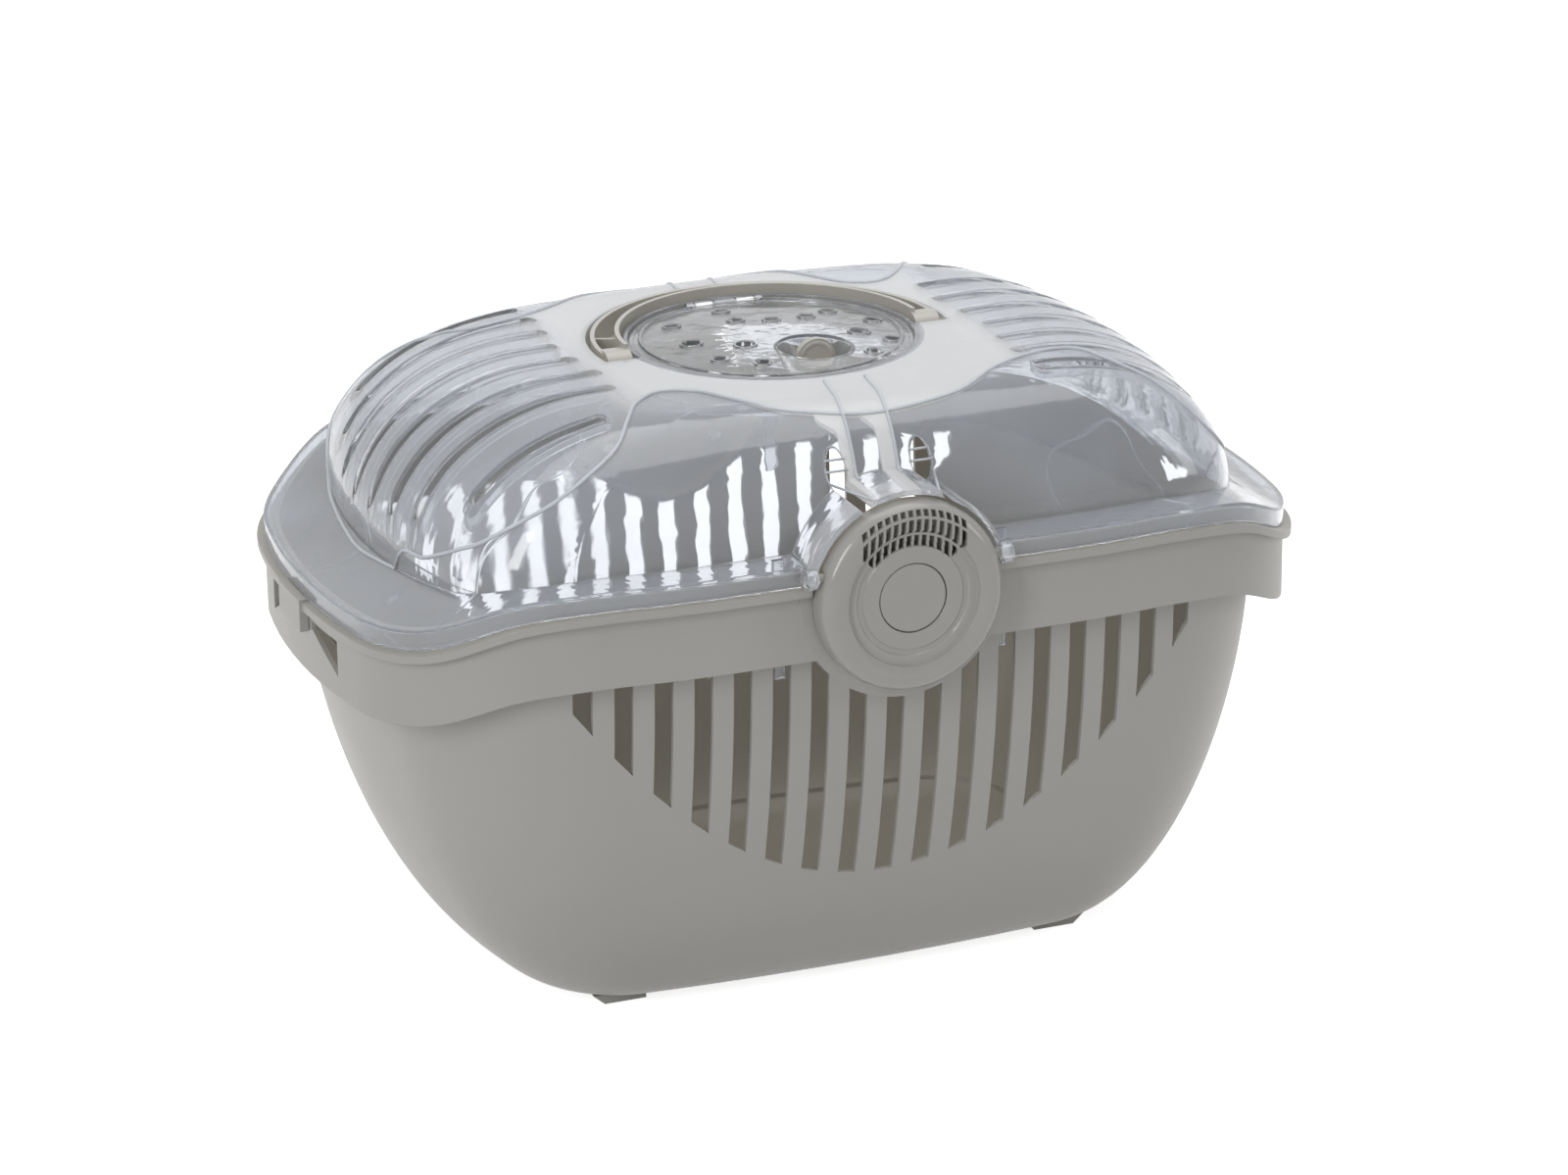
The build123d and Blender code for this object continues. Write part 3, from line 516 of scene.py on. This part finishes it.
@dataclass(frozen=True)
class PlatedSteel:
    """Zinc-plated steel of the springs, screws and pins."""

    name: str = "plated_steel"
    colour: tuple[float, float, float] = (0.62, 0.62, 0.63)

    def material(self) -> bpy.types.Material:
        """Makes the material."""
        mat = bpy.data.materials.new(self.name)
        mat.use_nodes = True
        w = Wiring(mat.node_tree)
        shader = mat.node_tree.nodes["Principled BSDF"]
        place = w.place
        brushed = w.noise(w.stretch(place, (3000.0, 400.0, 400.0)), 1.0, 3.0, 0.6)
        blot = w.noise(place, 300.0, 3.0, 0.6)
        shader.inputs["Metallic"].default_value = 1.0
        w.join(w.blend(blot, (*self.colour, 1.0), WORN_STEEL_COLOUR), shader.inputs["Base Color"])
        w.join(w.math("MULTIPLY_ADD", brushed, 0.25, 0.2), shader.inputs["Roughness"])
        w.join(w.bump(brushed, 0.00001), shader.inputs["Normal"])
        return mat


@dataclass
class Studio:
    """Camera, lamps, floor and background."""

    azimuth: float = math.radians(21.61)
    elevation: float = math.radians(19.63)
    roll: float = math.radians(-0.68)
    target: Vector = field(default_factory=lambda: Vector((0.00465, 0.00012, 0.1492)))
    distance: float = 2.2884
    lens: float = 118.8

    def camera(self) -> None:
        """Places the camera at the photograph's view."""
        back = Vector((-math.sin(self.azimuth) * math.cos(self.elevation),
                       -math.cos(self.azimuth) * math.cos(self.elevation), math.sin(self.elevation)))
        level = Vector((math.cos(self.azimuth), -math.sin(self.azimuth), 0.0))
        upright = back.cross(level)
        right = math.cos(self.roll) * level + math.sin(self.roll) * upright
        up = -math.sin(self.roll) * level + math.cos(self.roll) * upright
        turn = Matrix((right, up, back)).transposed().to_4x4()
        data = bpy.data.cameras.new("camera")
        data.sensor_width = 36.0
        data.lens = self.lens
        data.clip_start, data.clip_end = 0.05, 50.0
        eye = bpy.data.objects.new("camera", data)
        bpy.context.scene.collection.objects.link(eye)
        eye.matrix_world = Matrix.Translation(self.target + self.distance * back) @ turn
        bpy.context.scene.camera = eye

    def lamp(self, name: str, place: tuple[float, float, float], size: tuple[float, float],
             power: float) -> None:
        """Adds a soft rectangular lamp that looks at the carrier.

        Args:
            name: the lamp's name.
            place: where it stands.
            size: its width and height.
            power: its strength in watts.
        """
        data = bpy.data.lights.new(name, "AREA")
        data.shape = "RECTANGLE"
        data.size, data.size_y = size
        data.energy = power
        obj = bpy.data.objects.new(name, data)
        bpy.context.scene.collection.objects.link(obj)
        aim = self.target - Vector(place)
        obj.matrix_world = Matrix.Translation(place) @ aim.to_track_quat("-Z", "Y").to_matrix().to_4x4()

    def floor(self) -> None:
        """Makes the pale floor, white to the camera and in reflections, with the carrier's shadow."""
        mesh = bpy.data.meshes.new("floor")
        form = bmesh.new()
        bmesh.ops.create_grid(form, x_segments=1, y_segments=1, size=12.0)
        form.to_mesh(mesh)
        form.free()
        obj = bpy.data.objects.new("floor", mesh)
        bpy.context.scene.collection.objects.link(obj)
        mat = bpy.data.materials.new("studio_floor")
        mat.use_nodes = True
        w = Wiring(mat.node_tree)
        shader = mat.node_tree.nodes["Principled BSDF"]
        shader.inputs["Base Color"].default_value = (0.8, 0.8, 0.8, 1.0)
        shader.inputs["Roughness"].default_value = 0.9
        shader.inputs["Specular IOR Level"].default_value = 0.0
        rays = w.add("ShaderNodeLightPath")
        seen = w.math("MAXIMUM", rays.outputs["Is Camera Ray"],
                      w.math("MAXIMUM", rays.outputs["Is Glossy Ray"], rays.outputs["Is Transmission Ray"]))
        glow = w.add("ShaderNodeEmission")
        w.join(w.math("MULTIPLY", seen, 0.8), glow.inputs["Strength"])
        both = w.add("ShaderNodeAddShader")
        w.join(shader.outputs[0], both.inputs[0])
        w.join(glow.outputs[0], both.inputs[1])
        w.join(both.outputs[0], mat.node_tree.nodes["Material Output"].inputs["Surface"])
        mesh.materials.append(mat)

    def world(self) -> None:
        """White background that fills the shadows softly."""
        world = bpy.data.worlds.new("studio")
        world.use_nodes = True
        bpy.context.scene.world = world
        w = Wiring(world.node_tree)
        back = world.node_tree.nodes["Background"]
        back.inputs["Color"].default_value = (1.0, 1.0, 1.0, 1.0)
        rays = w.add("ShaderNodeLightPath")
        seen = w.math("MAXIMUM", rays.outputs["Is Camera Ray"],
                      w.math("MAXIMUM", rays.outputs["Is Glossy Ray"], rays.outputs["Is Transmission Ray"]))
        w.join(w.math("MULTIPLY_ADD", seen, 0.7, 0.3), back.inputs["Strength"])

    def build(self) -> None:
        """Builds the studio."""
        self.camera()
        self.floor()
        self.world()
        self.lamp("top_softbox", (0.3, 0.2, 2.4), (2.2, 1.8), 27.0)
        self.lamp("left_softbox", (-2.0, -1.4, 1.3), (0.5, 1.4), 23.0)
        self.lamp("right_softbox", (2.2, -1.2, 1.0), (0.6, 1.4), 9.0)
        view = bpy.context.scene.view_settings
        view.view_transform = "Standard"
        log.info("studio is built")


class Tube:
    """Round bead or bar that follows a path, as one mesh."""

    def __init__(self, name: str, sides: int = 10) -> None:
        self.name = name
        self.sides = sides
        self.form = bmesh.new()

    def along(self, path: list[Vector], radius: float, closed: bool = False) -> None:
        """Adds one bead.

        Args:
            path: places along its middle.
            radius: the bead's radius.
            closed: joins the end to the start.
        """
        rings = []
        count = len(path)
        for index, spot in enumerate(path):
            ahead = path[(index + 1) % count] if closed or index + 1 < count else spot
            behind = path[index - 1] if closed or index > 0 else spot
            course = (ahead - behind).normalized()
            side = course.cross(Vector((0.0, 0.0, 1.0)))
            side = side.normalized() if side.length > 0.001 else Vector((1.0, 0.0, 0.0))
            lift = side.cross(course)
            ring = []
            for step in range(self.sides):
                angle = 2.0 * math.pi * step / self.sides
                arm = radius * (math.cos(angle) * side + math.sin(angle) * lift)
                ring.append(self.form.verts.new(spot + arm))
            rings.append(ring)
        pairs = list(zip(rings, rings[1:] + rings[:1])) if closed else list(zip(rings, rings[1:]))
        for first, second in pairs:
            for step in range(self.sides):
                after = (step + 1) % self.sides
                self.form.faces.new((first[step], first[after], second[after], second[step]))
        if not closed:
            self.form.faces.new(list(reversed(rings[0])))
            self.form.faces.new(rings[-1])

    def finish(self, mat: bpy.types.Material, body: str) -> bpy.types.Object:
        """Makes the object.

        Args:
            mat: its material.
            body: the CAD body that it rides on.

        Returns:
            The finished object.
        """
        bmesh.ops.recalc_face_normals(self.form, faces=self.form.faces)
        for face in self.form.faces:
            face.smooth = len(face.verts) == 4
        mesh = bpy.data.meshes.new(self.name)
        self.form.to_mesh(mesh)
        self.form.free()
        mesh.materials.append(mat)
        obj = bpy.data.objects.new(self.name, mesh)
        bpy.context.scene.collection.objects.link(obj)
        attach(obj, body)
        log.info("made %s on %s", self.name, body)
        return obj


def smooth_loop(points: list[tuple[float, float]], steps: int) -> list[Vector]:
    """Closed smooth curve through plan points, with a number of steps between neighbours."""
    count = len(points)
    spots = [Vector((x, y, 0.0)) for x, y in points]
    made = []
    for index in range(count):
        p0, p1, p2, p3 = (spots[(index + k) % count] for k in (-1, 0, 1, 2))
        for step in range(steps):
            t = step / steps
            made.append(0.5 * (2.0 * p1 + (p2 - p0) * t + (2.0 * p0 - 5.0 * p1 + 4.0 * p2 - p3) * t * t
                               + (3.0 * p1 - p0 - 3.0 * p2 + p3) * t ** 3))
    return made


@dataclass
class LidDetails:
    """Beads, ribs and vent bars moulded on the clear lid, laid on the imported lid's own surface."""

    lid: bpy.types.Object
    band: BowTie
    bead_radius: float = 0.0009
    rib_radius: float = 0.0008
    bar_radius: float = 0.0006
    vent: tuple[float, float, float, float] = (0.019, 0.243, 0.0045, 0.0085)
    rib_lines: tuple[tuple[tuple[float, float], ...], ...] = (
        ((-0.0045, -0.072), (-0.0095, -0.098), (-0.0115, -0.1275)),
        ((0.0140, -0.072), (0.0105, -0.098), (0.0075, -0.1275)))

    def __post_init__(self) -> None:
        mesh = self.lid.data
        self.skin = BVHTree.FromPolygons([v.co for v in mesh.vertices], [p.vertices for p in mesh.polygons])

    def top(self, x: float, y: float, sink: float) -> Vector | None:
        """The place on the lid's outside over a plan point, sunk by a little, or None over an opening."""
        hit = self.skin.ray_cast(Vector((x, y, ABOVE_LID)), Vector((0.0, 0.0, -1.0)))[0]
        return Vector((x, y, hit.z - sink)) if hit is not None else None

    def wall(self, x: float, z: float, outward: float) -> Vector | None:
        """The place on the lid's outside at a front or rear window."""
        return self.skin.ray_cast(Vector((x, outward * BESIDE_LID, z)), Vector((0.0, -outward, 0.0)))[0]

    def edge_bead(self, mat: bpy.types.Material) -> None:
        """Bead along the edge of the frosted band."""
        made = Tube("lid_band_bead")
        spots = [self.top(p.x, p.y, 0.0) for p in smooth_loop(self.band.loop(), 5)]
        made.along([p for p in spots if p is not None and p.z > 0.17], self.bead_radius, closed=True)
        made.finish(mat, "lid")

    def ribs(self, mat: bpy.types.Material) -> None:
        """Two ribs from the hatch ring to each latch."""
        made = Tube("lid_latch_ribs")
        for turn in (1.0, -1.0):
            for start, middle, end in self.rib_lines:
                path = []
                for step in range(29):
                    t = step / 28.0
                    x, y = (start[k] * (1.0 - t) ** 2 + 2.0 * middle[k] * t * (1.0 - t) + end[k] * t * t
                            for k in (0, 1))
                    path.append(self.top(turn * x, turn * y, 0.0))
                made.along([p for p in path if p is not None], self.rib_radius)
        made.finish(mat, "lid")

    def vent_bars(self, mat: bpy.types.Material) -> None:
        """Level bars across the oval vents over the latches."""
        made = Tube("lid_vent_bars", 8)
        vent_x, vent_z, half_wide, half_high = self.vent
        for outward in (-1.0, 1.0):
            for side in (-1.0, 1.0):
                for level in (-0.5, 0.0, 0.5):
                    reach = half_wide * math.sqrt(1.0 - level * level) + 0.0008
                    z = vent_z + level * half_high
                    ends = [self.wall(side * vent_x + k * reach, z, outward) for k in (-1.0, 1.0)]
                    if None not in ends:
                        sunk = [p - Vector((0.0, outward * self.bar_radius, 0.0)) for p in ends]
                        made.along(sunk, self.bar_radius)
        made.finish(mat, "lid")


@dataclass(frozen=True)
class KnobRim:
    """Raised rim round the D-shaped grip of the hatch knob."""

    x: float = 0.010
    y: float = -0.026
    foot_z: float = 0.2601
    shoulder_z: float = 0.2621
    top_z: float = 0.2711
    half: float = 0.009
    radius: float = 0.0021

    def make(self, mat: bpy.types.Material) -> None:
        """Makes the rim."""
        wide, high = self.half - self.radius, self.top_z - self.radius - self.shoulder_z
        path = [Vector((self.x - wide, self.y, self.foot_z))]
        for step in range(25):
            angle = math.pi * (1.0 - step / 24.0)
            across, up = wide * math.cos(angle), high * math.sin(angle)
            path.append(Vector((self.x + across, self.y, self.shoulder_z + up)))
        path.append(Vector((self.x + wide, self.y, self.foot_z)))
        made = Tube("knob_rim", 12)
        made.along(path, self.radius)
        made.finish(mat, "knob")


@dataclass(frozen=True)
class LatchSpring:
    """The wound spring behind a latch's button, made as a copy of the imported one."""

    side: Side
    travel: float = 0.003

    def make(self, node: bpy.types.Object, mat: bpy.types.Material) -> None:
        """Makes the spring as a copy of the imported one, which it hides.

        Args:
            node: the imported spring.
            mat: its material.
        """
        mesh = node.data.copy()
        mesh.materials.clear()
        mesh.materials.append(mat)
        obj = bpy.data.objects.new(f"{self.side.value}_spring_coil", mesh)
        bpy.context.scene.collection.objects.link(obj)
        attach(obj, "tub")
        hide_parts(node.name)
        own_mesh(obj)


@dataclass
class Carrier:
    """The carrier's parts and their finishes."""

    nodes: dict[str, bpy.types.Object]
    band: BowTie = field(default_factory=BowTie)

    def paint(self, mat: bpy.types.Material, *names: str) -> None:
        """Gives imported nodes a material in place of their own."""
        for name in names:
            mesh = self.nodes[name].data
            mesh.materials.clear()
            mesh.materials.append(mat)
            log.info("dressed %s in %s", name, mat.name)

    def dress(self) -> None:
        """Makes the finishes and gives each node its own."""
        moulded, flow, band = moulded_group(), clear_group(), self.band.group()
        tub = GreyPlastic("tub_grey", (0.383, 0.375, 0.354), Sheen.SATIN, crease=0.0105).material(moulded)
        latch = GreyPlastic("latch_grey", (0.356, 0.349, 0.33), Sheen.GLOSS, 0.000006).material(moulded)
        handle = GreyPlastic("handle_grey", (0.54, 0.523, 0.477), Sheen.SMOOTH, 0.00001).material(moulded)
        knob = GreyPlastic("knob_grey", (0.5, 0.487, 0.45), Sheen.SMOOTH, 0.00001).material(moulded)
        lid = ClearPlastic("lid_clear").material(flow, band)
        bead = ClearPlastic("bead_clear", haze=0.75, haze_colour=(0.64, 0.68, 0.75),
                            ripple=0.0001).material(flow, None)
        hatch = ClearPlastic("hatch_clear", tint=(0.93, 0.94, 0.955), ripple=0.0011,
                             haze=0.06).material(flow, None)
        steel = PlatedSteel().material()
        self.paint(tub, "base_tub")
        self.paint(lid, "lid_shell")
        self.paint(hatch, "hatch_window")
        self.paint(handle, "carry_handle", "handle_stud_right", "handle_stud_left")
        self.paint(knob, "hatch_knob", "hatch_knob_tongue")
        self.paint(steel, "hatch_hinge_pin", "hatch_knob_screw")
        for side in Side:
            self.paint(latch, *(f"{side.value}_latch_{part}" for part in
                                ("cover", "button", "back_plate", "bolt_right", "bolt_left")))
            self.paint(steel, f"{side.value}_latch_screws")
            LatchSpring(side).make(self.nodes[f"{side.value}_latch_spring"], steel)
        details = LidDetails(self.nodes["lid_shell"], self.band)
        details.edge_bead(bead)
        details.ribs(bead)
        details.vent_bars(bead)
        KnobRim().make(knob)


def main() -> None:
    """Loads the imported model, builds the studio and dresses the carrier."""
    logging.basicConfig(level=logging.INFO, format="%(message)s")
    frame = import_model()
    Studio().build()
    carrier = Carrier(frame["nodes"])
    carrier.dress()


if __name__ == "__main__":
    main()
